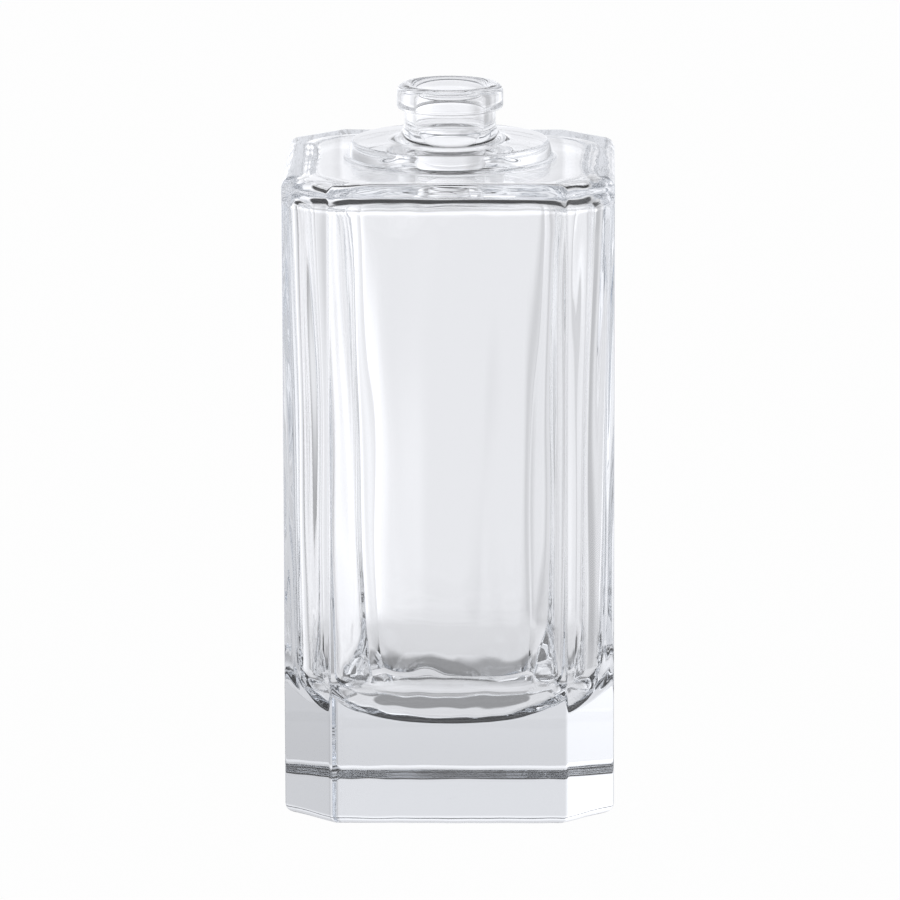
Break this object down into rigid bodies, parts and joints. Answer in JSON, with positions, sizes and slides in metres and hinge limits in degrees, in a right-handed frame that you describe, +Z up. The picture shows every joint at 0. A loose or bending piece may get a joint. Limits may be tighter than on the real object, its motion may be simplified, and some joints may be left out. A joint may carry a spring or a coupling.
{
  "type": "aftershave bottle",
  "caption": "Square clear glass aftershave bottle with cut corners, a heavy solid base, a raised round collar and a short open neck with a crimp ring.",
  "frame": {"origin": "centre of the base, on the surface that the bottle stands on", "axes": "+Z up along the bottle's axis towards the mouth, -Y out of the front face; the four faces are alike"},
  "size_m": [0.0464, 0.0464, 0.1018],
  "materials": {
    "clear_glass": "clear moulded flint glass, fire polished"
  },
  "bodies": {
    "root": {"glass_bottle": "clear_glass"}
  },
  "joints": []
}
